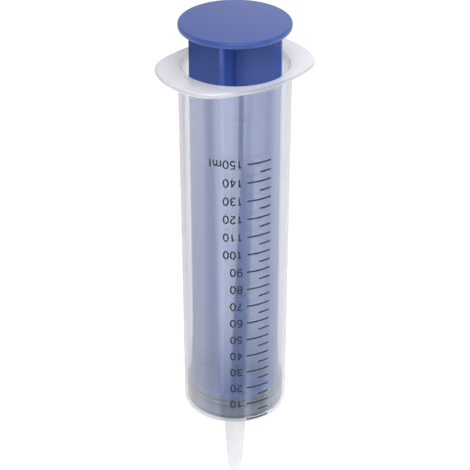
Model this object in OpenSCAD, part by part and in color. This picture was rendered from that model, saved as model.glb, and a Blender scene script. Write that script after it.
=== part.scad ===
// Large hand syringe with a tapered catheter nozzle, standing nozzle down with the plunger pushed home.
// The origin is the centre of the outlet, +Z runs up the axis to the thumb disc, and the finger flange
// is longest along X. Three mouldings: the barrel, the cross-ribbed plunger and the rubber seal that is
// snapped over the plunger's head.

/* [Barrel] */
// Radius of the bore that the seal slides in
bore_r = 20; // [17:0.5:26]
// Wall thickness at the foot of the barrel
wall_t = 1.1; // [0.8:0.1:2]
// How much the outside widens from the foot to the flange, for release from the mould
wall_draft = 0.5; // [0:0.1:1.2]
// Thickness of the barrel's floor
floor_t = 1; // [0.8:0.1:3]
// Length from the outside of the floor to the top of the flange
barrel_len = 152.7; // [120:0.1:200]
// Rounding of the outer edge at the foot
foot_round = 1; // [0.4:0.1:1.2]
// Rounding of the corner inside, between the bore and the floor
floor_round = 0.4; // [0.2:0.1:0.6]
// How much the bore opens out at its mouth
mouth_flare = 0.9; // [0.4:0.1:1.2]
// Depth of the flared mouth
mouth_depth = 2; // [1:0.5:5]

/* [Finger flange] */
// Length of the flange, tip to tip
flange_len = 61; // [56:1:80]
// Width of the flange across the barrel
flange_w = 46.5; // [46:0.5:52]
// Thickness of the flange
flange_t = 2.1; // [1.6:0.1:4]
// Radius of the two long sides
flange_side_r = 55; // [35:0.1:70]
// Radius of the four corners
flange_corner_r = 14; // [4:0.5:16]
// Rounding of the flange's rim
flange_edge_r = 0.9; // [0.3:0.1:1]
// Fillet between the wall and the underside of the flange
flange_fillet = 1; // [0.5:0.1:1.5]

/* [Nozzle] */
// Length of the nozzle below the barrel's floor
nozzle_len = 40.8; // [25:0.1:60]
// Radius at the root of the taper
nozzle_root_r = 5.35; // [4.5:0.05:7]
// Radius at the thin end of the taper, where the nose begins
nozzle_end_r = 3.1; // [2.6:0.05:4]
// Length of the blunt nose that leads into a tube
nose_len = 4; // [2:0.5:8]
// Radius of the nose at the outlet
nose_end_r = 1.55; // [1.5:0.05:2.4]
// Radius of the channel through the nozzle
outlet_r = 1.2; // [0.8:0.05:1.3]
// Radius of the funnel where the channel meets the floor
funnel_r = 3; // [2:0.1:4]
// Depth of that funnel
funnel_depth = 2; // [1:0.1:4]
// Fillet between the nozzle and the floor
nozzle_fillet = 0.8; // [0.3:0.1:1.5]

/* [Plunger] */
// Length from the underside of the foot plate to the top of the thumb disc
rod_len = 158.8; // [130:0.1:210]
// Radius over the four ribs
rib_r = 18.1; // [14:0.1:18.6]
// Thickness of a rib
rib_t = 1.7; // [1:0.1:3]
// Angle of the first rib from the flange's long axis, in degrees
rib_turn = 37.9; // [0:0.1:90]
// Length over which the ribs sweep out to the foot plate
sweep_len = 22; // [8:1:40]
// Radius of the foot plate
plate_r = 19; // [18.7:0.1:19.7]
// Thickness of the foot plate
plate_t = 2; // [1.2:0.1:3]
// Radius of the round stiffening webs between the ribs
web_r = 5; // [3:0.5:12]
// Thickness of a stiffening web
web_t = 1.2; // [0.8:0.1:2]
// Radius of the thumb disc
thumb_r = 21.4; // [18:0.1:26]
// Thickness of the thumb disc
thumb_t = 2.4; // [1.8:0.1:4]
// Rounding of the thumb disc's rim
thumb_edge_r = 0.8; // [0.3:0.1:0.9]
// Fillet where the ribs run into the thumb disc
thumb_fillet = 2; // [1:0.1:3]

/* [Snap head and seal] */
// Radius of the plunger's snap head
head_r = 12; // [10:0.5:15]
// Radius of the neck above the snap head
neck_r = 9; // [6:0.5:9.5]
// Chamfer that leads the snap head into the seal
head_chamfer = 1.4; // [0.6:0.1:1.6]
// Height of the seal
seal_h = 9.6; // [8.2:0.1:14]
// Thickness of the seal's front wall
seal_front_t = 2.2; // [1.5:0.1:3]
// Thickness of the inward collar that grips the neck
seal_collar_t = 2; // [1.2:0.1:2.5]
// How far the sealing lips stand out of the seal's body
lip_depth = 0.6; // [0.3:0.1:1]
// Width of a sealing lip at the bore
lip_w = 0.5; // [0.3:0.1:0.8]

/* [Fits] */
// Clearance between the sealing lips and the bore
lip_gap = 0.04; // [0.02:0.01:0.05]
// Clearance between the seal's front and the barrel's floor with the plunger home
home_gap = 0.05; // [0.05:0.05:0.3]
// Clearance all round the snap head and neck in the seal
head_gap = 0.05; // [0.02:0.01:0.1]

/* [Hidden] */
$fn = 96;

// Heights along the axis
floor_z = nozzle_len + floor_t;
top_z = nozzle_len + barrel_len;
under_z = top_z - flange_t;
seal_z = floor_z + home_gap;
plate_z = seal_z + seal_h + head_gap;
thumb_z = plate_z + rod_len;
disc_z = thumb_z - thumb_t;

// Radii that follow from the fits
foot_r = bore_r + wall_t;
wall_top_r = foot_r + wall_draft;
lip_r = bore_r - lip_gap;
seal_r = lip_r - lip_depth;

// Each sealing lip slopes back to the body over its own depth, on both faces
lip_base = lip_w + 2 * lip_depth;

// Fullness of the blunt nose: 1 gives a plain cone, more gives a rounder nose
nose_share = 2;
// Places of the stiffening webs, as shares of the way from the foot plate to the thumb disc
web_shares = [0.24, 0.755];
// Places of the sealing lips, as shares of the way from the lowest lip to the highest
lip_shares = [0, 0.68, 1];
// Steps in which curves are drawn
nose_steps = 6;
round_steps = 6;
sweep_steps = 8;
edge_steps = 4;
end_steps = 10;
side_steps = 14;
corner_steps = 6;
// Overrun of every cut
over = 1;

// Points on an arc from angle a0 to angle a1, both ends included
function arc(centre, r, a0, a1, steps) =
    [for (i = [0:steps]) let (a = a0 + (a1 - a0) * i / steps) centre + r * [cos(a), sin(a)]];

// The same arc without its last point, for outlines whose next arc starts there
function open_arc(centre, r, a0, a1, steps) =
    [for (i = [0:steps - 1]) let (a = a0 + (a1 - a0) * i / steps) centre + r * [cos(a), sin(a)]];

// The flange's outline is six arcs that run into each other. The end arcs lie about the barrel's axis,
// the side arcs about points beyond it, and each corner's centre is found from both.
end_r = flange_len / 2;
side_off = flange_side_r - flange_w / 2;
end_reach = end_r - flange_corner_r;
side_reach = flange_side_r - flange_corner_r;
corner_y = (side_reach ^ 2 - end_reach ^ 2 - side_off ^ 2) / (2 * side_off);
corner_x = sqrt(end_reach ^ 2 - corner_y ^ 2);
end_a = atan2(corner_y, corner_x);
side_a = atan2(corner_y + side_off, corner_x);

// Half of the outline, from the middle of the +X end's lower corner round to the -X end, drawn in by d
function half_outline(d) = concat(
    open_arc([0, 0], end_r - d, -end_a, end_a, end_steps),
    open_arc([corner_x, corner_y], flange_corner_r - d, end_a, side_a, corner_steps),
    open_arc([0, -side_off], flange_side_r - d, side_a, 180 - side_a, side_steps),
    open_arc([-corner_x, corner_y], flange_corner_r - d, 180 - side_a, 180 - end_a, corner_steps)
);

// The whole outline at height z: the half and its copy turned half round
function outline_ring(d, z) = [
    for (turn = [1, -1]) for (p = half_outline(d)) [turn * p[0], turn * p[1], z]
];

// A solid through rings of equally many points, closed by a flat face at each end
module loft(rings) {
    count = len(rings[0]);
    sides = [
        for (k = [0:len(rings) - 2]) for (i = [0:count - 1]) let (j = (i + 1) % count)
            [k * count + i, (k + 1) * count + i, (k + 1) * count + j, k * count + j]
    ];
    bottom = [for (i = [0:count - 1]) i];
    top = [for (i = [count - 1:-1:0]) (len(rings) - 1) * count + i];
    polyhedron(points = [for (ring = rings) each ring], faces = concat([bottom], sides, [top]));
}

// Oval plate with a rounded rim, standing on z = 0
module flange_plate() {
    low = [
        for (k = [0:edge_steps]) let (a = 90 * k / edge_steps)
            outline_ring(flange_edge_r * (1 - sin(a)), flange_edge_r * (1 - cos(a)))
    ];
    high = [
        for (k = [0:edge_steps]) let (a = 90 * k / edge_steps)
            outline_ring(flange_edge_r * (1 - cos(a)), flange_t - flange_edge_r * (1 - sin(a)))
    ];
    loft(concat(low, high));
}

// Outside of the barrel and its nozzle as a half section, from the outlet up into the flange
function outside_points() = concat(
    [[0, 0]],
    [
        for (i = [0:nose_steps]) let (u = i / nose_steps)
            [nose_end_r + (nozzle_end_r - nose_end_r) * (1 - (1 - u) ^ nose_share), nose_len * u]
    ],
    arc([nozzle_root_r + nozzle_fillet, nozzle_len - nozzle_fillet], nozzle_fillet, 180, 90, round_steps),
    arc([foot_r - foot_round, nozzle_len + foot_round], foot_round, -90, 0, round_steps),
    arc([wall_top_r + flange_fillet, under_z - flange_fillet], flange_fillet, 180, 90, round_steps),
    [[wall_top_r + flange_fillet, under_z + flange_t / 2], [0, under_z + flange_t / 2]]
);

// Hollow of the barrel as a half section: channel, funnel, bore and flared mouth
function inside_points() = concat(
    [[0, -over], [outlet_r, -over], [outlet_r, floor_z - funnel_depth], [funnel_r, floor_z]],
    arc([bore_r - floor_round, floor_z + floor_round], floor_round, -90, 0, round_steps),
    [[bore_r, top_z - mouth_depth], [bore_r + mouth_flare, top_z]],
    [[bore_r + mouth_flare, top_z + over], [0, top_z + over]]
);

// Barrel: drafted tube with floor, tapered nozzle and finger flange, moulded in one
module barrel() {
    color([0.90, 0.93, 0.96, 0.45])
    difference() {
        union() {
            rotate_extrude() polygon(outside_points());
            translate([0, 0, under_z]) flange_plate();
        }
        rotate_extrude() polygon(inside_points());
    }
}

// Envelope that trims the ribs: swept out to the foot plate below and filleted into the disc above
function rib_envelope() = concat(
    [[0, plate_z + plate_t / 2], [plate_r, plate_z + plate_t / 2]],
    [
        for (i = [0:sweep_steps]) let (u = i / sweep_steps)
            [rib_r + (plate_r - rib_r) * (1 - sin(90 * u)), plate_z + plate_t + sweep_len * u]
    ],
    arc([rib_r + thumb_fillet, disc_z - thumb_fillet], thumb_fillet, 180, 90, round_steps),
    [[rib_r + thumb_fillet, disc_z + thumb_t / 2], [0, disc_z + thumb_t / 2]]
);

// Two crossed plates, trimmed to the envelope
module ribs() {
    intersection() {
        rotate_extrude() polygon(rib_envelope());
        union() {
            for (turn = [0, 90])
                rotate([0, 0, rib_turn + turn])
                    translate([-thumb_r, -rib_t / 2, plate_z])
                        cube([2 * thumb_r, rib_t, rod_len]);
        }
    }
}

// Round stiffening webs in the corners of the cross
module webs() {
    web_span = disc_z - plate_z - plate_t;
    for (share = web_shares)
        translate([0, 0, plate_z + plate_t + share * web_span - web_t / 2])
            cylinder(r = web_r, h = web_t);
}

// Half section of the foot plate, the neck and the snap head that the seal holds
function foot_points() =
    let (
        head_low = seal_z + seal_front_t + head_gap,
        head_high = seal_z + seal_h - seal_collar_t - head_gap
    )
    [
        [0, head_low],
        [head_r - head_chamfer, head_low],
        [head_r, head_low + head_chamfer],
        [head_r, head_high],
        [neck_r, head_high],
        [neck_r, plate_z],
        [plate_r, plate_z],
        [plate_r, plate_z + plate_t],
        [0, plate_z + plate_t]
    ];

// Half section of the thumb disc with its rounded rim
function thumb_points() = concat(
    [[0, disc_z]],
    arc([thumb_r - thumb_edge_r, disc_z + thumb_edge_r], thumb_edge_r, -90, 0, round_steps),
    arc([thumb_r - thumb_edge_r, thumb_z - thumb_edge_r], thumb_edge_r, 0, 90, round_steps),
    [[0, thumb_z]]
);

// Plunger: cross-ribbed rod with thumb disc, foot plate and snap head, moulded in one
module plunger() {
    color([0.22, 0.31, 0.63])
    union() {
        rotate_extrude() polygon(foot_points());
        ribs();
        webs();
        rotate_extrude() polygon(thumb_points());
    }
}

// Half section of one sealing lip, from its lower root to its upper root
function lip_points(z) = [
    [seal_r, z - lip_base / 2],
    [lip_r, z - lip_w / 2],
    [lip_r, z + lip_w / 2],
    [seal_r, z + lip_base / 2]
];

// Half section of the seal: lips outside, and inside the undercut cup that snaps over the head
function seal_points() =
    let (
        first = seal_z + lip_base / 2,
        lip_span = seal_h - lip_base,
        cup_r = head_r + head_gap,
        cup_z = seal_z + seal_front_t,
        collar_z = seal_z + seal_h - seal_collar_t
    )
    concat(
        [[0, seal_z]],
        [for (share = lip_shares) each lip_points(first + share * lip_span)],
        [
            [neck_r + head_gap, seal_z + seal_h],
            [neck_r + head_gap, collar_z],
            [cup_r, collar_z],
            [cup_r, cup_z + head_chamfer],
            [cup_r - head_chamfer, cup_z],
            [0, cup_z]
        ]
    );

// Seal: rubber cup with a row of sealing lips
module seal() {
    color([0.16, 0.16, 0.18])
    rotate_extrude() polygon(seal_points());
}

barrel();
plunger();
seal();
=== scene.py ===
"""Dresses a 150 ml irrigation syringe: clear barrel, blue plunger, rubber seal and printed scale."""

import logging
import math
from collections.abc import Callable, Sequence
from dataclasses import dataclass
from enum import Enum
from functools import partial

import bpy
from bpy.types import Material, Node, NodeSocket, NodeTree, Object
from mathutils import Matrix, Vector


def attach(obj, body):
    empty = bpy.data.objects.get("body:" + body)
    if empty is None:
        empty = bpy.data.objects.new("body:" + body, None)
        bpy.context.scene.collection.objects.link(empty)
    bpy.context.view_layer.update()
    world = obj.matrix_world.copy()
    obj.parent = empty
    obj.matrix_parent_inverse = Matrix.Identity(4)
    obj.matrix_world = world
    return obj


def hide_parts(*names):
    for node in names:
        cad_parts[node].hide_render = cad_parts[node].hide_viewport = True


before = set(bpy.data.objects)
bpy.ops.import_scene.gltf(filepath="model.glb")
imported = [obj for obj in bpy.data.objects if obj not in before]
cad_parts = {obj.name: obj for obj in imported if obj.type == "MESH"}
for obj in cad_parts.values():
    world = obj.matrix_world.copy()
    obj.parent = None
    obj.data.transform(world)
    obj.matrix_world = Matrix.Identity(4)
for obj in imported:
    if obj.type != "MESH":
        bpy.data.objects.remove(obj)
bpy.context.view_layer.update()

LOG = logging.getLogger("syringe")
MM = 0.001
# How far past a size a point may lie and still count as on it, in millimetres: usually, and for small forms
SLACK = 0.05
FINE_SLACK = 0.01
# Points closer than this, in metres, are one point
MERGE = 2e-6
# Blender's wave pattern repeats after about this length at a scale of 1
WAVE_LENGTH = 0.3

Point = tuple[float, float]
Span = tuple[float, float]
Ring = list[tuple[float, float, float]]
Inputs = dict[str | int, object]
Adder = Callable[..., Node]


class Body(Enum):
    """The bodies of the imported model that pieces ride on."""

    BARREL = "barrel"
    SEAL = "seal"
    PLUNGER = "plunger"


class LampUse(Enum):
    """What a lamp shows in."""

    ALL = "all"
    GLOSS = "gloss"
    MATT = "matt"


class Slot(Enum):
    """The record's material slots."""

    BARREL = "clear_barrel"
    PLUNGER = "blue_plunger"
    SEAL = "seal_rubber"


def linear(code: str) -> tuple[float, float, float, float]:
    """Turns an sRGB hex code into linear colour.

    Args:
        code: Six hex digits after a hash sign.

    Returns:
        Linear red, green, blue and an alpha of one.
    """
    parts = [int(code[i : i + 2], 16) / 255 for i in (1, 3, 5)]
    curve = [c / 12.92 if c <= 0.04045 else ((c + 0.055) / 1.055) ** 2.4 for c in parts]
    return (*curve, 1.0)


def add_node(tree: NodeTree, kind: str, inputs: Inputs | None = None, **settings: object) -> Node:
    """Adds one node with its settings, its values and its links.

    Args:
        tree: The node tree to add to.
        kind: Blender's name for the kind of node.
        inputs: By name or place: a value, a socket to link, or a node to link by its first output.
        **settings: Properties of the node itself.

    Returns:
        The new node.
    """
    node = tree.nodes.new(kind)
    for name, value in settings.items():
        setattr(node, name, value)
    for name, value in (inputs or {}).items():
        if isinstance(value, Node):
            value = value.outputs[0]
        if isinstance(value, NodeSocket):
            tree.links.new(value, node.inputs[name])
        else:
            node.inputs[name].default_value = value
    return node


def set_stops(ramp: Node, codes: Sequence[str], spots: Sequence[float] = (0.0, 1.0)) -> None:
    """Sets a colour ramp's stops.

    Args:
        ramp: The ramp's node.
        codes: The stops' colours, as sRGB hex codes.
        spots: The stops' places, from low to high.
    """
    stops = ramp.color_ramp.elements
    for spot in spots[1:-1]:
        stops.new(spot)
    for stop, spot, code in zip(stops, spots, codes):
        stop.position, stop.color = spot, linear(code)


def new_material(name: str) -> tuple[Material, Adder]:
    """Makes an empty node material.

    Args:
        name: The material's name.

    Returns:
        The material, and what adds a node to its tree.
    """
    material = bpy.data.materials.new(name)
    material.use_nodes = True
    material.node_tree.nodes.clear()
    return material, partial(add_node, material.node_tree)


def bow(centre: Point, radii: Span, start: float, end: float, steps: int = 14) -> list[Point]:
    """Points on part of an ellipse with a half width and a half height, between two angles in degrees."""
    angles = [math.radians(start + (end - start) * i / steps) for i in range(steps + 1)]
    return [(centre[0] + radii[0] * math.cos(a), centre[1] + radii[1] * math.sin(a)) for a in angles]


def arc(centre: Point, radius: float, start: float, end: float, steps: int = 8) -> list[Point]:
    """Points on an arc of a circle between two angles in degrees, both ends included."""
    return bow(centre, (radius, radius), start, end, steps)


def rim(radius: float, low: float, high: float, edge: float, steps: int = 8) -> list[Point]:
    """Points on an upright rim between two heights, with corners rounded to the radius of its edge."""
    foot = arc((radius - edge, low + edge), edge, -90, 0, steps)
    return [*foot, *arc((radius - edge, high - edge), edge, 0, 90, steps)]


def polar(radius: float, angle: float, height: float) -> Vector:
    """The place at a distance from the Z axis, in a direction in radians and at a height."""
    return Vector((radius * math.cos(angle), radius * math.sin(angle), height))


def deselect_all() -> None:
    """Leaves object mode with nothing selected."""
    if bpy.context.object and bpy.context.object.mode != "OBJECT":
        bpy.ops.object.mode_set(mode="OBJECT")
    bpy.ops.object.select_all(action="DESELECT")


def take(piece: Object) -> None:
    """Selects one object alone and makes it active.

    Args:
        piece: The object.
    """
    deselect_all()
    piece.select_set(True)
    bpy.context.view_layer.objects.active = piece


def close_mesh(piece: Object, fill_ends: bool = False) -> None:
    """Merges doubled points, fills open ends if asked to, and turns all faces outwards.

    Args:
        piece: The mesh object to close.
        fill_ends: Whether open ends are filled with one face each.
    """
    take(piece)
    bpy.ops.object.mode_set(mode="EDIT")
    bpy.ops.mesh.select_all(action="SELECT")
    bpy.ops.mesh.remove_doubles(threshold=MERGE)
    bpy.ops.mesh.delete_loose(use_verts=True, use_edges=True, use_faces=False)
    if fill_ends:
        bpy.ops.mesh.select_all(action="DESELECT")
        bpy.ops.mesh.select_non_manifold(extend=False)
        bpy.ops.mesh.edge_face_add()
    bpy.ops.mesh.select_all(action="SELECT")
    bpy.ops.mesh.normals_make_consistent(inside=False)
    bpy.ops.object.mode_set(mode="OBJECT")


def turn_section(name: str, section: Sequence[Point], steps: int) -> Object:
    """Spins a half section about the Z axis, as a turned or moulded round part.

    Args:
        name: The piece's name.
        section: Closed outline of radius and height, in millimetres.
        steps: Number of steps in the full turn.

    Returns:
        A closed mesh object.
    """
    deselect_all()
    bpy.ops.mesh.primitive_circle_add(vertices=len(section), radius=MM, fill_type="NOTHING")
    piece = bpy.context.object
    piece.name = piece.data.name = name
    for vertex, (radius, height) in zip(piece.data.vertices, section):
        vertex.co = (radius * MM, 0.0, height * MM)
    bpy.ops.object.mode_set(mode="EDIT")
    bpy.ops.mesh.select_all(action="SELECT")
    bpy.ops.mesh.spin(steps=steps, angle=math.tau, center=(0, 0, 0), axis=(0, 0, 1))
    bpy.ops.object.mode_set(mode="OBJECT")
    close_mesh(piece)
    return piece


def roll_rings(name: str, rings: Sequence[Ring]) -> Object:
    """Rolls a grid up into a tube through rings of equally many points, and fills its ends.

    Args:
        name: The piece's name.
        rings: The rings in order, each a closed loop of points in millimetres.

    Returns:
        A closed mesh object.
    """
    deselect_all()
    around = len(rings[0])
    bpy.ops.mesh.primitive_grid_add(x_subdivisions=around, y_subdivisions=len(rings) - 1, size=MM)
    piece = bpy.context.object
    piece.name = piece.data.name = name
    for index, vertex in enumerate(piece.data.vertices):
        row, column = divmod(index, around + 1)
        vertex.co = Vector(rings[row][column % around]) * MM
    close_mesh(piece, fill_ends=True)
    return piece


def dress(piece: Object, degrees: float, *finishes: Material) -> None:
    """Shades a piece smooth and gives it its finishes.

    Args:
        piece: The finished mesh.
        degrees: The angle between faces up to which it is smooth.
        *finishes: Its materials.
    """
    take(piece)
    bpy.ops.object.shade_smooth_by_angle(angle=math.radians(degrees))
    for finish in finishes:
        piece.data.materials.append(finish)


def place(piece: Object, body: Body, node: str | None = None) -> None:
    """Ties a finished piece to its body, and hides the CAD node it stands for.

    Args:
        piece: The finished piece.
        body: The body that it rides on.
        node: The CAD node that it replaces, if it replaces one.
    """
    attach(piece, body.value)
    if node:
        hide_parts(node)
    LOG.info("%s: %d faces, rides on %s", piece.name, len(piece.data.polygons), body.value)


def share_past(add: Adder, height: NodeSocket, level: float, way: float) -> Node:
    """A factor that goes from 0 to 1 across a level in millimetres: upwards for way 1, downwards for -1."""
    span = {"Value": height, "From Min": (level - way) * MM, "From Max": (level + way) * MM}
    return add("ShaderNodeMapRange", span, interpolation_type="SMOOTHSTEP")


def sum_of(add: Adder, start: float, terms: Sequence[tuple[Node, float]]) -> Node:
    """Adds weighted factors to a number, and holds the sum between 0 and 1.

    Args:
        add: Adds a node to the material's tree.
        start: The number.
        terms: Each factor with its weight.

    Returns:
        The node that gives the sum.
    """
    total: Node | float = start
    for factor, weight in terms:
        total = add("ShaderNodeMath", {0: factor, 1: weight, 2: total}, operation="MULTIPLY_ADD")
    total.use_clamp = True
    return total


@dataclass(frozen=True)
class ClearPolypropylene:
    """Natural polypropylene, injection moulded against polished steel.

    It is clear, but milky where it is thick or seen edge on, so what lies behind shows paler. Its skin has a
    sharp gloss with a faint ripple. Each milk is the share of light that the plastic scatters.
    """

    name: str
    # The thin wall's blue milk is partly the plastic's own bluish scatter and partly painted light, the blue
    # that the plunger behind casts into the wall
    front_milk_and_bounce_colour: str = "#ACD2F6"
    thick_milk_and_shade_colour: str = "#EEF0F5"
    # Painted shade: the darker grey of the flange's upright sides, which the lamps from above leave dim
    rim_shade_colour: str = "#B8BBC4"
    through_colour: str = "#F3F1F3"
    through_share: float = 0.35
    tint: str = "#FDFDFD"
    edge_tint: str = "#EAEAEB"
    milk: float = 0.17
    milk_flange: float = 0.66
    milk_nozzle: float = 0.62
    edge_milk: float = 0.33
    flange_z: float = 190.5
    nozzle_z: float = 40.8
    rim_slopes: Span = (0.9, 0.2)
    forward: float = 0.75
    edge_power: float = 1.5
    edge_whitening: float = 1.6
    edge_tinting: float = 2.0
    gloss: float = 0.08
    edge_gloss: float = 0.4
    gloss_power: float = 5.0
    roughness: float = 0.10
    ripple_mm: float = 9.0
    ripple_stretch: float = 0.12
    ripple_depth_mm: float = 0.003
    cloud_mm: float = 14.0
    cloud: float = 0.12
    detail: float = 2.0

    def build(self) -> Material:
        """Makes the material: a straight clear view, some milk in it, and gloss that grows to the edges.

        Returns:
            The material.
        """
        material, add = new_material(self.name)
        coordinates = add("ShaderNodeTexCoord").outputs
        where = coordinates["Object"]
        drawn = add("ShaderNodeMapping", {"Vector": where, "Scale": (1.0, 1.0, self.ripple_stretch)})
        pitch = 1.0 / (self.ripple_mm * MM)
        ripple = add("ShaderNodeTexNoise", {"Vector": drawn, "Scale": pitch, "Detail": self.detail})
        depth = self.ripple_depth_mm * MM
        bump = add("ShaderNodeBump", {"Height": ripple, "Strength": 1.0, "Distance": depth})

        # Gloss grows steeply towards the edges, and milk more evenly with the way through the wall
        edge = add("ShaderNodeLayerWeight", {"Blend": 0.5, "Normal": bump}).outputs["Facing"]
        grazing = add("ShaderNodeMath", {0: edge, 1: self.gloss_power}, operation="POWER")
        shine = add("ShaderNodeMapRange", {"Value": grazing, "To Min": self.gloss, "To Max": self.edge_gloss})
        long_way = add("ShaderNodeMath", {0: edge, 1: self.edge_power}, operation="POWER")
        height = add("ShaderNodeSeparateXYZ", {"Vector": where}).outputs["Z"]
        flange = share_past(add, height, self.flange_z, 1.0)
        nozzle = share_past(add, height, self.nozzle_z, -1.0)
        pitch = 1.0 / (self.cloud_mm * MM)
        clouds = add("ShaderNodeTexNoise", {"Vector": where, "Scale": pitch, "Detail": self.detail})
        haze_terms = (
            (flange, self.milk_flange - self.milk),
            (nozzle, self.milk_nozzle - self.milk),
            (clouds, self.milk * 2.0 * self.cloud),
            (long_way, self.edge_milk),
        )
        haze = sum_of(add, self.milk * (1.0 - self.cloud), haze_terms)

        # Such plastic scatters light mostly forward, so its milk hardly darkens what it stands before
        shadow = add("ShaderNodeLightPath").outputs["Is Shadow Ray"]
        lit = add("ShaderNodeMapRange", {"Value": shadow, "To Min": 1.0, "To Max": 1.0 - self.forward})
        amount = add("ShaderNodeMath", {0: haze, 1: lit}, operation="MULTIPLY")

        # The milk's colour goes from the thin wall's blue, which is partly painted blue light from the
        # plunger behind, to the thick parts' white over half of the ramp, and on to the rim's grey, painted
        # shade on the flange's upright sides, over the other half. In the bore, the thick parts' colour is
        # also a painted shade of grey.
        thick = sum_of(add, 0.0, ((flange, 1.0), (nozzle, 1.0), (long_way, self.edge_whitening)))
        facing_up = add("ShaderNodeSeparateXYZ", {"Vector": coordinates["Normal"]}).outputs["Z"]
        flatness = add("ShaderNodeMath", {0: facing_up}, operation="ABSOLUTE")
        slopes = {"Value": flatness, "From Min": self.rim_slopes[0], "From Max": self.rim_slopes[1]}
        upright = add("ShaderNodeMapRange", slopes, interpolation_type="SMOOTHSTEP")
        rim_shade = add("ShaderNodeMath", {0: upright, 1: flange}, operation="MULTIPLY")
        whitish = add("ShaderNodeValToRGB", {"Fac": sum_of(add, 0.0, ((thick, 0.5), (rim_shade, 0.5)))})
        set_stops(whitish, (self.front_milk_and_bounce_colour, self.thick_milk_and_shade_colour, self.rim_shade_colour), (0.0, 0.5, 1.0))

        # What is seen through the wall darkens a little where the wall is seen edge on, but not in the nozzle
        wall = add("ShaderNodeMath", {0: lit, 1: nozzle}, operation="SUBTRACT")
        deep = sum_of(add, 0.0, ((long_way, self.edge_tinting),))
        shade = add("ShaderNodeMath", {0: deep, 1: wall}, operation="MULTIPLY", use_clamp=True)
        clearness = add("ShaderNodeValToRGB", {"Fac": shade})
        set_stops(clearness, (self.tint, self.edge_tint))

        clear = add("ShaderNodeBsdfTransparent", {"Color": clearness})
        front = add("ShaderNodeBsdfDiffuse", {"Color": whitish})
        through = add("ShaderNodeBsdfTranslucent", {"Color": linear(self.through_colour)})
        milk = add("ShaderNodeMixShader", {0: self.through_share, 1: front, 2: through})
        body = add("ShaderNodeMixShader", {0: amount, 1: clear, 2: milk})
        polish = {"Color": linear("#FFFFFF"), "Roughness": self.roughness, "Normal": bump}
        gloss = add("ShaderNodeBsdfGlossy", polish)
        skin = add("ShaderNodeMixShader", {0: shine, 1: body, 2: gloss})
        add("ShaderNodeOutputMaterial", {"Surface": skin})
        return material


@dataclass(frozen=True)
class BluePolypropylene:
    """Blue polypropylene, injection moulded in a lightly etched mould.

    It is opaque and satin, so lights show on it broad and soft. A fine grain breaks them up, and faint flow
    streaks run through its colour. The grain is drawn coarser than the real one, so that it shows.
    """

    name: str
    colour: str = "#2B4B97"
    streak_colour: str = "#30509F"
    streak_roughness: Span = (0.33, 0.37)
    streak_mm: float = 7.0
    streak_shift: tuple[float, float, float] = (0.030, 0.018, 0.0)
    streak_stretch: float = 0.2
    streak_bend: float = 3.5
    streak_detail: float = 2.0
    streak_detail_scale: float = 0.6
    grain_mm: float = 0.9
    grain_depth_mm: float = 0.004
    grain_strength: float = 0.5
    grain_detail: float = 3.0
    ior: float = 1.49
    specular: float = 0.5

    def build(self) -> Material:
        """Makes the material: streaked colour and roughness, with a soft moulded grain.

        Returns:
            The material.
        """
        material, add = new_material(self.name)
        where = add("ShaderNodeTexCoord").outputs["Object"]
        mapping = {"Vector": where, "Location": self.streak_shift, "Scale": (1.0, 1.0, self.streak_stretch)}
        flow = {
            "Vector": add("ShaderNodeMapping", mapping),
            "Scale": WAVE_LENGTH / (self.streak_mm * MM),
            "Distortion": self.streak_bend,
            "Detail": self.streak_detail,
            "Detail Scale": self.streak_detail_scale,
        }
        rings = add("ShaderNodeTexWave", flow, wave_type="RINGS", rings_direction="Z", wave_profile="SIN")
        streaks = rings.outputs["Fac"]
        colour = add("ShaderNodeValToRGB", {"Fac": streaks})
        set_stops(colour, (self.colour, self.streak_colour))
        low, high = self.streak_roughness
        rough = add("ShaderNodeMapRange", {"Value": streaks, "To Min": low, "To Max": high})
        pitch = 1.0 / (self.grain_mm * MM)
        grain = add("ShaderNodeTexNoise", {"Vector": where, "Scale": pitch, "Detail": self.grain_detail})
        depth = self.grain_depth_mm * MM
        bump = add("ShaderNodeBump", {"Height": grain, "Strength": self.grain_strength, "Distance": depth})
        looks = {
            "Base Color": colour,
            "Roughness": rough,
            "IOR": self.ior,
            "Specular IOR Level": self.specular,
            "Normal": bump,
        }
        add("ShaderNodeOutputMaterial", {"Surface": add("ShaderNodeBsdfPrincipled", looks)})
        return material


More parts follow.
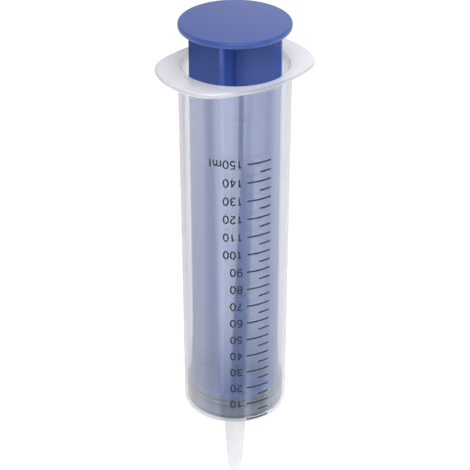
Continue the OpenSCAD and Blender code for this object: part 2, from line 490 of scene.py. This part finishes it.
@dataclass(frozen=True)
class SealRubber:
    """Black elastomer, compression moulded, with a grey coat on its body that is partly dust and partly
    painted sheen.

    Black is painted on the lips and the foot, painted shade for the dark lines where they press against the
    bore and the barrel's floor. Its grain is drawn coarser than the real one, so that the body looks dusty
    and not plain.
    """

    name: str
    colour: str = "#555C70"
    coat_and_sheen_colour: str = "#646B81"
    coat_and_sheen_span: Span = (0.35, 0.7)
    contact_shade_colour: str = "#060608"
    lip_r: float = 19.5
    lip_blend: float = 0.1
    foot_z: float = 42.3
    foot_blend: float = 0.2
    roughness: float = 0.42
    grain_mm: float = 0.5
    grain_depth_mm: float = 0.02
    grain_strength: float = 0.6
    grain_detail: float = 4.0
    ior: float = 1.52

    def build(self) -> Material:
        """Makes the material: a mottled grey coat and painted sheen with a fine grain, and painted shade in
        black on the lips and the foot.

        Returns:
            The material.
        """
        material, add = new_material(self.name)
        where = add("ShaderNodeTexCoord").outputs["Object"]
        pitch = 1.0 / (self.grain_mm * MM)
        grain = add("ShaderNodeTexNoise", {"Vector": where, "Scale": pitch, "Detail": self.grain_detail})
        # The body's grey is partly a dusty coat and partly painted sheen
        coat_and_sheen = add("ShaderNodeValToRGB", {"Fac": grain})
        set_stops(coat_and_sheen, (self.colour, self.coat_and_sheen_colour), self.coat_and_sheen_span)
        depth = self.grain_depth_mm * MM
        bump = add("ShaderNodeBump", {"Height": grain, "Strength": self.grain_strength, "Distance": depth})
        flat = add("ShaderNodeVectorMath", {0: where, 1: (1.0, 1.0, 0.0)}, operation="MULTIPLY")
        radius = add("ShaderNodeVectorMath", {0: flat}, operation="LENGTH").outputs["Value"]
        height = add("ShaderNodeSeparateXYZ", {"Vector": where}).outputs["Z"]
        # Painted shade: black past the lips' radius and below the foot's height, for the dark lines where the
        # lips press on the bore and the foot on the barrel's floor
        near, far = (self.lip_r - self.lip_blend) * MM, (self.lip_r + self.lip_blend) * MM
        lip_shade = add("ShaderNodeMapRange", {"Value": radius, "From Min": near, "From Max": far})
        high, low = (self.foot_z + self.foot_blend) * MM, (self.foot_z - self.foot_blend) * MM
        foot_shade = add("ShaderNodeMapRange", {"Value": height, "From Min": high, "From Max": low})
        painted_shade = add("ShaderNodeMath", {0: lip_shade, 1: foot_shade}, operation="MAXIMUM")
        # On a colour Mix node the places 6 and 7 are the two colours, and output 2 is their mix
        tone = add("ShaderNodeMix", {0: painted_shade, 6: coat_and_sheen, 7: linear(self.contact_shade_colour)}, data_type="RGBA")
        looks = {"Base Color": tone.outputs[2], "Roughness": self.roughness, "IOR": self.ior, "Normal": bump}
        add("ShaderNodeOutputMaterial", {"Surface": add("ShaderNodeBsdfPrincipled", looks)})
        return material


@dataclass(frozen=True)
class ScaleInk:
    """Dark blue-grey marking ink, screen printed: it looks flat, and a little paler where it lies thin.

    Its cover varies in spots that are drawn coarser than the real ones, so that they show.
    """

    name: str
    colour: str = "#0A1226"
    thin_colour: str = "#141D36"
    thin_span: Span = (0.45, 0.75)
    cover_mm: float = 0.6
    cover_detail: float = 2.0
    roughness: float = 0.6

    def build(self) -> Material:
        """Makes the material: matt ink, paler where it lies thin.

        Returns:
            The material.
        """
        material, add = new_material(self.name)
        where = add("ShaderNodeTexCoord").outputs["Object"]
        pitch = 1.0 / (self.cover_mm * MM)
        cover = add("ShaderNodeTexNoise", {"Vector": where, "Scale": pitch, "Detail": self.cover_detail})
        colour = add("ShaderNodeValToRGB", {"Fac": cover})
        set_stops(colour, (self.colour, self.thin_colour), self.thin_span)
        skin = add("ShaderNodeBsdfPrincipled", {"Base Color": colour, "Roughness": self.roughness})
        add("ShaderNodeOutputMaterial", {"Surface": skin})
        return material


@dataclass(frozen=True)
class BarrelMoulding:
    """The clear barrel: drafted tube, floor, tapered nozzle and oval flange. Sizes are in millimetres."""

    bore_r: float = 20.0
    foot_r: float = 21.1
    top_r: float = 21.6
    floor_t: float = 1.0
    nozzle_len: float = 40.8
    top_z: float = 193.5
    foot_round: float = 1.0
    floor_round: float = 0.4
    mouth_flare: float = 0.9
    mouth_depth: float = 2.0
    mouth_edge: float = 0.4
    flange_len: float = 61.0
    flange_w: float = 46.5
    flange_t: float = 2.1
    flange_side_r: float = 55.0
    flange_corner_r: float = 14.0
    flange_edge_r: float = 0.9
    flange_fillet: float = 0.8
    nozzle_root_r: float = 5.35
    nozzle_end_r: float = 3.1
    nozzle_fillet: float = 0.8
    nose_len: float = 4.0
    nose_end_r: float = 1.55
    nose_power: float = 2.0
    nose_steps: int = 12
    outlet_r: float = 1.2
    outlet_edge: float = 0.15
    funnel_r: float = 3.0
    funnel_depth: float = 2.0
    steps: int = 256
    smooth_to: float = 32.0

    @property
    def floor_z(self) -> float:
        """Height of the floor's inside."""
        return self.nozzle_len + self.floor_t

    @property
    def under_z(self) -> float:
        """Height of the flange's underside."""
        return self.top_z - self.flange_t

    def wall_r(self, height: float) -> float:
        """Outer radius of the drafted wall.

        Args:
            height: Where it is asked for.

        Returns:
            The radius in millimetres.
        """
        low = self.nozzle_len + self.foot_round
        high = self.under_z - self.flange_fillet
        share = min(max((height - low) / (high - low), 0.0), 1.0)
        return self.foot_r + (self.top_r - self.foot_r) * share

    def outline_r(self, angle: float, inset: float) -> float:
        """Distance from the axis to the flange's outline, which is six arcs that run into each other.

        Args:
            angle: Direction from the axis, in radians from the flange's long axis.
            inset: How far inside the outline.

        Returns:
            The distance in millimetres.
        """
        end_r = self.flange_len / 2
        off = self.flange_side_r - self.flange_w / 2
        end_reach = end_r - self.flange_corner_r
        side_reach = self.flange_side_r - self.flange_corner_r
        corner_y = (side_reach**2 - end_reach**2 - off**2) / (2 * off)
        corner_x = math.sqrt(end_reach**2 - corner_y**2)
        x, y = abs(math.cos(angle)), abs(math.sin(angle))
        turn = math.atan2(y, x)
        side_turn = math.atan2(corner_y + off, corner_x)
        corner_r = self.flange_corner_r - inset
        last_x = corner_x + corner_r * math.cos(side_turn)
        last_y = corner_y + corner_r * math.sin(side_turn)
        if turn <= math.atan2(corner_y, corner_x):
            return end_r - inset
        if turn <= math.atan2(last_y, last_x):
            centre, radius = (corner_x, corner_y), corner_r
        else:
            centre, radius = (0.0, -off), self.flange_side_r - inset
        along = centre[0] * x + centre[1] * y
        return along + math.sqrt(along**2 - centre[0] ** 2 - centre[1] ** 2 + radius**2)

    def section(self) -> list[Point]:
        """Closed half section of the barrel, with the flange's rim still round.

        Returns:
            Its points as radius and height.
        """
        growth, power = self.nozzle_end_r - self.nose_end_r, self.nose_power
        shares = [i / self.nose_steps for i in range(self.nose_steps + 1)]
        nose = [(self.nose_end_r + growth * (1 - (1 - u) ** power), self.nose_len * u) for u in shares]
        root, foot, fillet = self.nozzle_fillet, self.foot_round, self.flange_fillet
        mouth, floor, tip = self.mouth_edge, self.floor_round, self.outlet_edge
        mouth_r = self.bore_r + self.mouth_flare + mouth
        return [
            *nose,
            *arc((self.nozzle_root_r + root, self.nozzle_len - root), root, 180, 90),
            *arc((self.foot_r - foot, self.nozzle_len + foot), foot, -90, 0, steps=10),
            *arc((self.top_r + fillet, self.under_z - fillet), fillet, 180, 90),
            *rim(self.flange_len / 2, self.under_z, self.top_z, self.flange_edge_r),
            *arc((mouth_r, self.top_z - mouth), mouth, 90, 180, steps=6),
            (self.bore_r, self.top_z - self.mouth_depth),
            *arc((self.bore_r - floor, self.floor_z + floor), floor, 0, -90, steps=6),
            (self.funnel_r, self.floor_z),
            (self.outlet_r, self.floor_z - self.funnel_depth),
            *arc((self.outlet_r + tip, tip), tip, 180, 270, steps=3),
        ]

    def build(self, skin: Material, bore: Material) -> None:
        """Spins the section, draws the rim in to the oval and dresses inside and outside.

        Args:
            skin: Material of the outside.
            bore: Material of the inside.
        """
        piece = turn_section("barrel_moulding", self.section(), self.steps)
        end_r = self.flange_len / 2
        for vertex in piece.data.vertices:
            radius = math.hypot(vertex.co.x, vertex.co.y) / MM
            if radius > end_r - self.flange_edge_r - FINE_SLACK:
                angle = math.atan2(vertex.co.y, vertex.co.x)
                scale = self.outline_r(angle, end_r - radius) / radius
                vertex.co.x *= scale
                vertex.co.y *= scale
        dress(piece, self.smooth_to, skin, bore)
        for face in piece.data.polygons:
            face.material_index = int(self.is_inside(face.center))
        place(piece, Body.BARREL, "barrel")

    def is_inside(self, centre: Vector) -> bool:
        """Whether a face lines the bore, the funnel or the channel.

        Args:
            centre: The face's centre, in metres.

        Returns:
            True where it does.
        """
        radius, height = math.hypot(centre.x, centre.y) / MM, centre.z / MM
        if height > self.floor_z - SLACK:
            return radius < self.bore_r + self.mouth_flare + SLACK
        if height > self.floor_z - self.funnel_depth - SLACK:
            return radius < self.funnel_r + SLACK
        return radius < self.outlet_r + FINE_SLACK


@dataclass(frozen=True)
class PlungerMoulding:
    """The blue plunger: disc, crossed ribs, webs, foot plate and snap head. Sizes are in millimetres."""

    plate_z: float = 51.5
    thumb_z: float = 210.3
    rib_r: float = 18.1
    rib_t: float = 1.7
    rib_turn: float = 37.9
    rib_edge: float = 0.25
    corner_fillet: float = 0.2
    sweep_len: float = 22.0
    sweep_steps: int = 14
    plate_r: float = 19.0
    plate_t: float = 2.0
    plate_edge: float = 0.3
    web_r: float = 5.0
    web_t: float = 1.2
    web_edge: float = 0.25
    web_shares: tuple[float, float] = (0.24, 0.755)
    web_steps: int = 64
    thumb_r: float = 21.4
    thumb_t: float = 2.4
    thumb_edge: float = 0.8
    thumb_fillet: float = 2.0
    thumb_fillet_steps: int = 8
    neck_r: float = 9.0
    head_r: float = 12.0
    head_low: float = 44.1
    head_high: float = 49.4
    head_chamfer: float = 1.4
    steps: int = 192
    smooth_to: float = 30.0

    @property
    def disc_z(self) -> float:
        """Height of the thumb disc's underside."""
        return self.thumb_z - self.thumb_t

    @property
    def plate_top(self) -> float:
        """Height of the foot plate's upper face."""
        return self.plate_z + self.plate_t

    def reach(self, height: float) -> float:
        """How far the ribs reach from the axis: swept out below and filleted above.

        Args:
            height: Where it is asked for.

        Returns:
            The reach in millimetres.
        """
        if height < self.plate_top + self.sweep_len:
            share = max(height - self.plate_top, 0.0) / self.sweep_len
            return self.rib_r + (self.plate_r - self.rib_r) * (1 - math.sin(share * math.pi / 2))
        rise = min(max(height - (self.disc_z - self.thumb_fillet), 0.0), self.thumb_fillet)
        return self.rib_r + self.thumb_fillet - math.sqrt(self.thumb_fillet**2 - rise**2)

    def cross_ring(self, height: float) -> Ring:
        """Outline of the crossed ribs, with filleted corners and eased edges.

        Args:
            height: Where it is drawn.

        Returns:
            The outline's points.
        """
        half, fillet = self.rib_t / 2, self.corner_fillet
        plan = [
            *rim(self.reach(height), -half, half, self.rib_edge, steps=3),
            *arc((half + fillet, half + fillet), fillet, -90, -180, steps=6),
        ]
        ring: Ring = []
        for arm in range(4):
            turn = math.radians(self.rib_turn + 90 * arm)
            c, s = math.cos(turn), math.sin(turn)
            ring += [(u * c - v * s, u * s + v * c, height) for u, v in plan]
        return ring

    def ribs(self) -> Object:
        """The crossed ribs, from inside the foot plate to inside the thumb disc.

        Returns:
            A closed mesh object.
        """
        low, high = self.plate_top, self.disc_z - self.thumb_fillet
        sweep, fillet = self.sweep_steps, self.thumb_fillet_steps
        heights = [
            low - self.plate_t / 2,
            *(low + self.sweep_len * i / sweep for i in range(sweep + 1)),
            *(high + self.thumb_fillet * i / fillet for i in range(fillet + 1)),
            self.disc_z + self.thumb_t / 2,
        ]
        return roll_rings("ribs", [self.cross_ring(height) for height in heights])

    def foot(self) -> Object:
        """The foot plate, the neck and the snap head.

        Returns:
            A closed mesh object.
        """
        section = [
            (0.0, self.head_low),
            (self.head_r - self.head_chamfer, self.head_low),
            (self.head_r, self.head_low + self.head_chamfer),
            (self.head_r, self.head_high),
            (self.neck_r, self.head_high),
            (self.neck_r, self.plate_z),
            *rim(self.plate_r, self.plate_z, self.plate_top, self.plate_edge, steps=4),
            (0.0, self.plate_top),
        ]
        return turn_section("foot", section, self.steps)

    def thumb_disc(self) -> Object:
        """The thumb disc with its rounded rim."""
        edge = rim(self.thumb_r, self.disc_z, self.thumb_z, self.thumb_edge)
        return turn_section("thumb_disc", [(0.0, self.disc_z), *edge, (0.0, self.thumb_z)], self.steps)

    def web(self, share: float) -> Object:
        """One round web in the corners of the cross.

        Args:
            share: Its place, as a share of the way from the foot plate to the disc.

        Returns:
            A closed mesh object.
        """
        middle = self.plate_top + share * (self.disc_z - self.plate_top)
        low, high = middle - self.web_t / 2, middle + self.web_t / 2
        edge = rim(self.web_r, low, high, self.web_edge, steps=3)
        return turn_section("web", [(0.0, low), *edge, (0.0, high)], self.web_steps)

    def build(self, finish: Material) -> None:
        """Joins the plunger's forms into one moulding and dresses it.

        Args:
            finish: Material of the whole plunger.
        """
        piece, *others = self.ribs(), self.foot(), self.thumb_disc(), *(self.web(s) for s in self.web_shares)
        take(piece)
        for form in others:
            form.select_set(True)
        bpy.ops.object.join()
        piece.name = piece.data.name = "plunger_moulding"
        dress(piece, self.smooth_to, finish)
        place(piece, Body.PLUNGER, "plunger")


@dataclass(frozen=True)
class LipSeal:
    """The rubber seal: a cup with sealing lips. Sizes are in millimetres."""

    bottom_z: float = 41.85
    height: float = 9.6
    lip_r: float = 19.96
    lip_depth: float = 0.6
    lip_w: float = 0.5
    lip_shares: tuple[float, ...] = (0.0, 0.68, 1.0)
    lip_turn: float = 80.0
    front_t: float = 2.2
    collar_t: float = 2.0
    cup_r: float = 12.05
    collar_r: float = 9.05
    cup_chamfer: float = 1.4
    steps: int = 192
    smooth_to: float = 40.0

    def lip(self, middle: float) -> list[Point]:
        """Half section of one sealing lip with a rounded crest.

        Args:
            middle: Height of its crest.

        Returns:
            Its points as radius and height.
        """
        half = self.lip_w / 2
        root, body_r = half + self.lip_depth, self.lip_r - self.lip_depth
        crest = arc((self.lip_r - half, middle), half, -self.lip_turn, self.lip_turn, steps=6)
        return [(body_r, middle - root), *crest, (body_r, middle + root)]

    def build(self, finish: Material) -> None:
        """Spins the seal's section and dresses it.

        Args:
            finish: Material of the seal.
        """
        top = self.bottom_z + self.height
        base = self.lip_w + 2 * self.lip_depth
        span = self.height - base
        lips = [self.lip(self.bottom_z + base / 2 + share * span) for share in self.lip_shares]
        cup_z = self.bottom_z + self.front_t
        section = [
            (0.0, self.bottom_z),
            *(point for lip in lips for point in lip),
            (self.collar_r, top),
            (self.collar_r, top - self.collar_t),
            (self.cup_r, top - self.collar_t),
            (self.cup_r, cup_z + self.cup_chamfer),
            (self.cup_r - self.cup_chamfer, cup_z),
            (0.0, cup_z),
        ]
        piece = turn_section("seal_moulding", section, self.steps)
        dress(piece, self.smooth_to, finish)
        place(piece, Body.SEAL, "seal")


Stroke = list[Point]

# Plain strokes of each sign, one unit tall. A stroke that ends where it starts is a closed ring.
SIGNS: dict[str, list[Stroke]] = {
    "0": [bow((0.31, 0.5), (0.245, 0.44), 0, 360, 28)],
    "1": [[(0.39, 0.06), (0.39, 0.94)], [(0.40, 0.94), (0.34, 0.84), (0.25, 0.77), (0.16, 0.74)]],
    "2": [
        [*bow((0.31, 0.69), (0.23, 0.25), 165, -28), (0.42, 0.46), (0.22, 0.28), (0.09, 0.05)],
        [(0.06, 0.06), (0.56, 0.06)],
    ],
    "3": [
        [*bow((0.29, 0.71), (0.21, 0.23), 160, -90), (0.24, 0.48)],
        [(0.24, 0.48), *bow((0.29, 0.27), (0.25, 0.21), 90, -160)],
    ],
    "4": [[(0.42, 0.06), (0.42, 0.94)], [(0.42, 0.92), (0.06, 0.30)], [(0.03, 0.30), (0.57, 0.30)]],
    "5": [[(0.53, 0.94), (0.17, 0.94), (0.11, 0.50)], bow((0.29, 0.33), (0.25, 0.27), 140, -155)],
    "6": [
        bow((0.31, 0.32), (0.235, 0.26), 0, 360, 24),
        [*bow((0.34, 0.5), (0.265, 0.44), 50, 180), (0.076, 0.36)],
    ],
    "7": [[(0.06, 0.94), (0.58, 0.94)], [(0.55, 0.94), (0.42, 0.70), (0.30, 0.42), (0.24, 0.06)]],
    "8": [bow((0.31, 0.71), (0.20, 0.23), 0, 360, 22), bow((0.31, 0.27), (0.245, 0.21), 0, 360, 24)],
    "9": [
        bow((0.31, 0.68), (0.235, 0.26), 0, 360, 24),
        [*bow((0.28, 0.5), (0.265, 0.44), 230, 360), (0.544, 0.64)],
    ],
    "m": [
        [(0.08, 0.06), (0.08, 0.70)],
        [(0.08, 0.50), *bow((0.28, 0.48), (0.195, 0.21), 165, 0), (0.475, 0.06)],
        [(0.475, 0.50), *bow((0.675, 0.48), (0.195, 0.21), 165, 0), (0.87, 0.06)],
    ],
    "l": [[(0.14, 0.06), (0.14, 0.94)]],
}

# How far each sign moves the next one along, one unit being its height
ADVANCE: dict[str, float] = {"m": 1.09, "l": 0.28}


@dataclass(frozen=True)
class PrintedScale:
    """The scale on the barrel, laid out flat as on a printing screen and rolled on. Sizes are in millimetres.

    On the flat sheet x runs round the barrel and y up it. The numbers stand on their heads when the nozzle
    points down.
    """

    barrel: BarrelMoulding
    centre_angle: float = 234.1
    zero_z: float = 42.4
    ten_ml: float = 7.925
    marks: int = 15
    long_start: float = 4.75
    short_start: float = 9.7
    mark_end: float = 14.6
    mark_steps: int = 12
    number_start: float = 3.05
    sign_h: float = 3.7
    digit_advance: float = 0.735
    number_stroke: float = 0.62
    mark_stroke: float = 0.72
    ink_t: float = 0.03
    sheet_r: float = 21.35
    smooth_to: float = 40.0

    def number_strokes(self, text: str, height: float) -> list[Stroke]:
        """The strokes of one number, turned upside down on the sheet.

        Args:
            text: The number's signs.
            height: Height of the number's middle.

        Returns:
            The strokes in sheet places.
        """
        strokes: list[Stroke] = []
        first, start, size = self.number_start, 0.0, self.sign_h
        for sign in text:
            for stroke in SIGNS[sign]:
                strokes.append([(first - (start + x) * size, height - (y - 0.5) * size) for x, y in stroke])
            start += ADVANCE.get(sign, self.digit_advance)
        return strokes

    def mark_line(self, start: float, height: float) -> Stroke:
        """One mark as a straight stroke of short steps, so that it bends when rolled on."""
        steps = self.mark_steps
        return [(start + (self.mark_end - start) * i / steps, height) for i in range(steps + 1)]

    def print_strokes(self, name: str, strokes: Sequence[Stroke], width: float) -> Object:
        """Draws strokes as round bars, flattens them to ink and rolls them on the barrel.

        Args:
            name: The piece's name.
            strokes: The strokes in sheet places.
            width: Width of every stroke.

        Returns:
            The print as one mesh object.
        """
        curve = bpy.data.curves.new(name, "CURVE")
        curve.dimensions = "3D"
        curve.bevel_depth = width / 2 * MM
        curve.bevel_resolution = 1
        curve.use_fill_caps = True
        for stroke in strokes:
            closed = math.dist(stroke[0], stroke[-1]) < FINE_SLACK
            points = stroke[:-1] if closed else stroke
            spline = curve.splines.new("POLY")
            spline.points.add(len(points) - 1)
            for target, (x, y) in zip(spline.points, points):
                target.co = (x * MM, y * MM, 0.0, 1.0)
            spline.use_cyclic_u = closed
        piece = bpy.data.objects.new(name, curve)
        bpy.context.scene.collection.objects.link(piece)
        take(piece)
        bpy.ops.object.convert(target="MESH")
        piece = bpy.context.object
        for vertex in piece.data.vertices:
            x, y, out = vertex.co / MM
            angle = math.radians(self.centre_angle) + x / self.sheet_r
            radius = self.barrel.wall_r(y) + self.ink_t * out / (width / 2)
            vertex.co = polar(radius, angle, y) * MM
        close_mesh(piece)
        return piece

    def build(self, ink: Material) -> None:
        """Prints the marks and the numbers, and ties them to the barrel.

        Args:
            ink: Material of the print.
        """
        marks: list[Stroke] = []
        numbers: list[Stroke] = []
        for ten in range(self.marks + 1):
            height = self.zero_z + ten * self.ten_ml
            marks.append(self.mark_line(self.long_start, height))
            if ten < self.marks:
                marks.append(self.mark_line(self.short_start, height + self.ten_ml / 2))
            if ten:
                text = f"{ten * 10}ml" if ten == self.marks else f"{ten * 10}"
                numbers += self.number_strokes(text, height)
        prints = (
            self.print_strokes("scale_marks", marks, self.mark_stroke),
            self.print_strokes("scale_numbers", numbers, self.number_stroke),
        )
        for piece in prints:
            dress(piece, self.smooth_to, ink)
            place(piece, Body.BARREL)


@dataclass(frozen=True)
class Lamp:
    """One soft lamp, placed from the object as the camera sees it.

    Its turn from the camera's direction and its rise from the level are in degrees, and lengths in metres.
    Radiance is its brightness, where 1 is white, and tone its colour.
    """

    name: str
    turn: float
    rise: float
    distance: float
    width: float
    height: float
    radiance: float
    target_z: float = 0.10
    use: LampUse = LampUse.ALL
    tone: str = "#FFFFFF"

    def build(self, heading: float) -> None:
        """Adds the lamp, which faces the object and which the camera doesn't see.

        Args:
            heading: The camera's direction from the object, in degrees.
        """
        angle, rise = math.radians(heading + self.turn), math.radians(self.rise)
        target = Vector((0.0, 0.0, self.target_z))
        spot = target + polar(self.distance * math.cos(rise), angle, self.distance * math.sin(rise))
        deselect_all()
        bpy.ops.object.light_add(type="AREA", location=spot)
        lamp = bpy.context.object
        lamp.name = self.name
        lamp.rotation_euler = (target - spot).to_track_quat("-Z", "Y").to_euler()
        lamp.data.shape = "RECTANGLE"
        lamp.data.size, lamp.data.size_y = self.width, self.height
        lamp.data.energy = self.radiance * math.pi * self.width * self.height
        lamp.data.color = linear(self.tone)[:3]
        lamp.visible_camera = False
        lamp.visible_diffuse = self.use is not LampUse.GLOSS
        lamp.visible_glossy = self.use is not LampUse.MATT
        LOG.info("lamp %s at %s", self.name, tuple(round(c, 3) for c in spot))


@dataclass(frozen=True)
class GlossCard:
    """A card on the floor that only gloss sees, as a band down the barrel: white, or dark as a flag.

    It fans out from the object's axis. Angles are in degrees from the camera's direction, positive to its
    right, and lengths in millimetres. Its light goes from near to far over the first share of its length,
    its rise, and fades at both sides over a share of its width, its feather.
    """

    name: str
    near_fan: Span
    far_fan: Span
    near_light: float
    far_light: float
    near: float = 45.0
    far: float = 420.0
    rise: float = 1.0
    feather: float = 0.3
    lift: float = 1.5
    cells: tuple[int, int] = (20, 12)

    def finish(self) -> Material:
        """Makes its material: light that fades out to both sides.

        Returns:
            The material.
        """
        material, add = new_material(self.name)
        place_on = add("ShaderNodeSeparateXYZ", {"Vector": add("ShaderNodeUVMap")}).outputs
        from_left = {"Value": place_on["X"], "From Max": self.feather}
        from_right = {"Value": place_on["X"], "From Min": 1.0, "From Max": 1.0 - self.feather}
        left = add("ShaderNodeMapRange", from_left, interpolation_type="SMOOTHSTEP")
        right = add("ShaderNodeMapRange", from_right, interpolation_type="SMOOTHSTEP")
        share = add("ShaderNodeMath", {0: left, 1: right}, operation="MULTIPLY")
        along = {
            "Value": place_on["Y"],
            "From Max": self.rise,
            "To Min": self.near_light,
            "To Max": self.far_light,
        }
        strength = add("ShaderNodeMapRange", along, interpolation_type="SMOOTHSTEP")
        light = add("ShaderNodeEmission", {"Strength": strength})
        clear = add("ShaderNodeBsdfTransparent")
        both = add("ShaderNodeMixShader", {0: share, 1: clear, 2: light})
        add("ShaderNodeOutputMaterial", {"Surface": both})
        material.cycles.emission_sampling = "NONE"
        return material

    def build(self, heading: float) -> None:
        """Lays the card on the floor.

        Args:
            heading: The camera's direction from the object, in degrees.
        """
        deselect_all()
        columns, rows = self.cells
        bpy.ops.mesh.primitive_grid_add(x_subdivisions=columns, y_subdivisions=rows, size=1.0, calc_uvs=True)
        card = bpy.context.object
        card.name = self.name
        for vertex in card.data.vertices:
            across, along = vertex.co.x + 0.5, vertex.co.y + 0.5
            first, last = (near + (far - near) * along for near, far in zip(self.near_fan, self.far_fan))
            angle = math.radians(heading + (first + (last - first) * across))
            vertex.co = polar(self.near + (self.far - self.near) * along, angle, self.lift) * MM
        card.data.materials.append(self.finish())
        card.visible_camera = card.visible_diffuse = card.visible_transmission = card.visible_shadow = False
        LOG.info("card %s laid", self.name)


def white_rays(add: Adder) -> Node:
    """A factor that is one where the camera, gloss or glass looks at the background.

    Args:
        add: Adds a node to the material's or the world's tree.

    Returns:
        The node that gives the factor.
    """
    path = add("ShaderNodeLightPath").outputs
    seen = add("ShaderNodeMath", {0: path["Is Camera Ray"], 1: path["Is Glossy Ray"]}, operation="MAXIMUM")
    return add("ShaderNodeMath", {0: seen, 1: path["Is Transmission Ray"]}, operation="MAXIMUM")


@dataclass(frozen=True)
class Studio:
    """Pale floor, soft lamps and the camera at the photograph's place. Lengths are in metres."""

    heading: float = 234.1
    camera_reach: float = 0.5475
    camera_z: float = 0.4401
    camera_pitch: float = 30.44
    lens: float = 121.8
    sensor: float = 36.0
    floor_size: float = 8.0
    floor_colour: str = "#E7E7E8"
    floor_glow: float = 0.57
    dome: float = 0.34
    lamps: tuple[Lamp, ...] = (
        Lamp("key_softbox", 6.0, 51.0, 1.0, 0.8, 0.8, 3.1, 0.12),
        Lamp("left_softbox", -100.0, 20.0, 0.9, 0.6, 0.9, 0.65, 0.12, tone="#FFE6D6"),
        Lamp("right_softbox", 100.0, 30.0, 0.45, 0.35, 0.45, 2.0, 0.14, LampUse.MATT),
        Lamp("low_fill", 0.0, -20.0, 0.27, 0.4, 0.08, 2.4, 0.10, LampUse.MATT),
        Lamp("rear_card", 161.0, 31.0, 0.6, 0.4, 0.4, 0.3, 0.2, LampUse.GLOSS),
    )
    cards: tuple[GlossCard, ...] = (
        GlossCard("camera_flag", (5.0, 17.0), (9.0, 20.0), 0.9, 1.3, 255.0, feather=0.2, lift=3.0),
        GlossCard("stand_flag", (-17.0, 20.0), (10.0, 43.0), 0.2, 0.8, far=262.0, feather=0.2, lift=3.0),
        GlossCard("left_card", (-150.0, -48.0), (-128.0, -54.0), 1.9, 3.2, feather=0.27),
        GlossCard("right_card", (72.0, 150.0), (74.0, 138.0), 1.9, 2.8),
        GlossCard("front_left_card", (-36.0, 16.0), (-60.0, 40.0), 0.3, 3.1, 60.0, feather=0.2, rise=0.25),
        GlossCard("front_right_card", (26.0, 72.0), (20.0, 72.0), 0.3, 2.2, 60.0, rise=0.25),
    )

    def build_floor(self) -> None:
        """Adds the floor: white board, lifted to pure white only where it is looked at."""
        deselect_all()
        bpy.ops.mesh.primitive_plane_add(size=self.floor_size)
        floor = bpy.context.object
        floor.name = "floor"
        material, add = new_material("white_board")
        glow = add("ShaderNodeMath", {0: white_rays(add), 1: self.floor_glow}, operation="MULTIPLY")
        board = add("ShaderNodeBsdfDiffuse", {"Color": linear(self.floor_colour)})
        light = add("ShaderNodeEmission", {"Strength": glow})
        add("ShaderNodeOutputMaterial", {"Surface": add("ShaderNodeAddShader", {0: board, 1: light})})
        floor.data.materials.append(material)

    def build_world(self) -> None:
        """Adds the dome of even light, white where it is looked at."""
        world = bpy.data.worlds.new("studio_dome")
        world.use_nodes = True
        world.node_tree.nodes.clear()
        add = partial(add_node, world.node_tree)
        strength = add("ShaderNodeMapRange", {"Value": white_rays(add), "To Min": self.dome, "To Max": 1.0})
        light = add("ShaderNodeBackground", {"Color": linear("#FFFFFF"), "Strength": strength})
        add("ShaderNodeOutputWorld", {"Surface": light})
        bpy.context.scene.world = world

    def build_camera(self) -> None:
        """Adds the camera at the photograph's distance, height and tilt."""
        deselect_all()
        bpy.ops.object.camera_add(
            location=polar(self.camera_reach, math.radians(self.heading), self.camera_z),
            rotation=(math.radians(90 - self.camera_pitch), 0.0, math.radians(self.heading - 270)),
        )
        camera = bpy.context.object
        camera.data.lens = self.lens
        camera.data.sensor_width = self.sensor
        bpy.context.scene.camera = camera

    def build(self) -> None:
        """Builds the whole studio."""
        self.build_camera()
        self.build_floor()
        self.build_world()
        for light in (*self.lamps, *self.cards):
            light.build(self.heading)
        bpy.context.scene.view_settings.view_transform = "Standard"


def main() -> None:
    """Builds the syringe and its studio."""
    logging.basicConfig(level=logging.INFO, format="%(name)s: %(message)s")
    barrel = BarrelMoulding()
    barrel.build(
        ClearPolypropylene("natural polypropylene, moulded").build(),
        ClearPolypropylene(
            "natural polypropylene, polished bore",
            # Painted shade: the bore's thick and rim colours are darker greys, for the shade inside the mouth
            thick_milk_and_shade_colour="#D2D2D6",
            rim_shade_colour="#CDCED2",
            edge_tint="#EEEEF1",
            milk=0.0,
            milk_flange=0.24,
            milk_nozzle=0.0,
            edge_milk=0.06,
            gloss=0.06,
            edge_gloss=0.2,
        ).build(),
    )
    PlungerMoulding().build(BluePolypropylene("blue polypropylene, moulded").build())
    LipSeal().build(SealRubber("black elastomer, siliconed").build())
    PrintedScale(barrel).build(ScaleInk("marking ink, screen printed").build())
    Studio().build()


if __name__ == "__main__":
    main()
